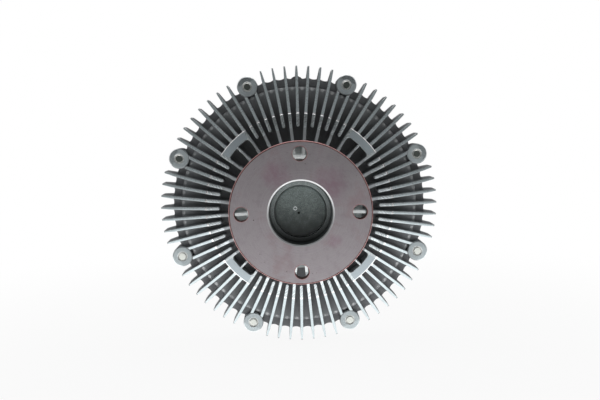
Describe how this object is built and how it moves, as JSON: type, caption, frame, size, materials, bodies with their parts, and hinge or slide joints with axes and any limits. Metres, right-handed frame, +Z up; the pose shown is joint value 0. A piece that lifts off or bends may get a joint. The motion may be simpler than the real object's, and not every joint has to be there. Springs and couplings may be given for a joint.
{
  "type": "viscous fan clutch",
  "caption": "Finned round fan clutch with a bolted drive flange, a fluid-coupled housing on a ball bearing, and a bimetal valve in front.",
  "frame": {"origin": "centre of the drive flange's mounting face, on the clutch's axis", "axes": "+Y along the axis from the flange towards the fan, +Z up, +X to the right as seen from the flange side"},
  "size_m": [0.1892, 0.097, 0.1892],
  "materials": {
    "flange_steel": "fine turned steel with a mauve tint and red-brown edges",
    "dark_steel": "dark phosphate coat, speckled",
    "bearing_steel": "ground and polished",
    "cage_brass": "plain machined",
    "black_rubber": "matt",
    "cast_alloy": "shot-blasted die casting, with turned fin crests",
    "zinc_steel": "zinc plated",
    "sheet_steel": "plain rolled steel",
    "bimetal": "rolled strip, slightly tarnished"
  },
  "bodies": {
    "drive": {"drive_flange": "flange_steel", "drive_shaft": "dark_steel", "bearing_inner_race": "bearing_steel", "rotor": "cast_alloy", "rotor_circlip": "dark_steel"},
    "ball_train": {"bearing_balls": "bearing_steel", "bearing_cage": "cage_brass"},
    "housing": {"rear_case": "cast_alloy", "front_cover": "cast_alloy", "bearing_outer_race": "bearing_steel", "bearing_rear_shield": "black_rubber", "bearing_front_shield": "black_rubber", "bearing_circlip": "dark_steel", "cover_seal_ring": "black_rubber", "cover_screws": "zinc_steel", "cover_screw_washers": "zinc_steel", "separator_plate": "sheet_steel", "separator_screws": "zinc_steel", "return_plug": "bearing_steel", "bimetal_coil": "bimetal", "coil_bracket": "sheet_steel", "bracket_screws": "zinc_steel", "fan_studs": "zinc_steel"},
    "valve": {"valve_plate": "sheet_steel", "valve_spindle": "sheet_steel", "spindle_seal_ring": "black_rubber", "spindle_clip": "dark_steel"}
  },
  "joints": [
    {"name": "housing_spin", "type": "hinge", "parent": "drive", "child": "housing", "pos_m": [0, 0.0305, 0], "axis": [0, 1, 0], "continuous": true},
    {"name": "ball_train_orbit", "type": "hinge", "parent": "drive", "child": "ball_train", "pos_m": [0, 0.0305, 0], "axis": [0, 1, 0], "continuous": true},
    {"name": "valve_turn", "type": "hinge", "parent": "housing", "child": "valve", "pos_m": [0, 0.075, 0], "axis": [0, 1, 0], "range_deg": [0, 30], "stiffness_Nm_per_rad": 0.05, "deforming": ["bimetal_coil"]}
  ],
  "couplings": [
    {"joint": "ball_train_orbit", "follows": "housing_spin", "ratio": 0.59294}
  ]
}
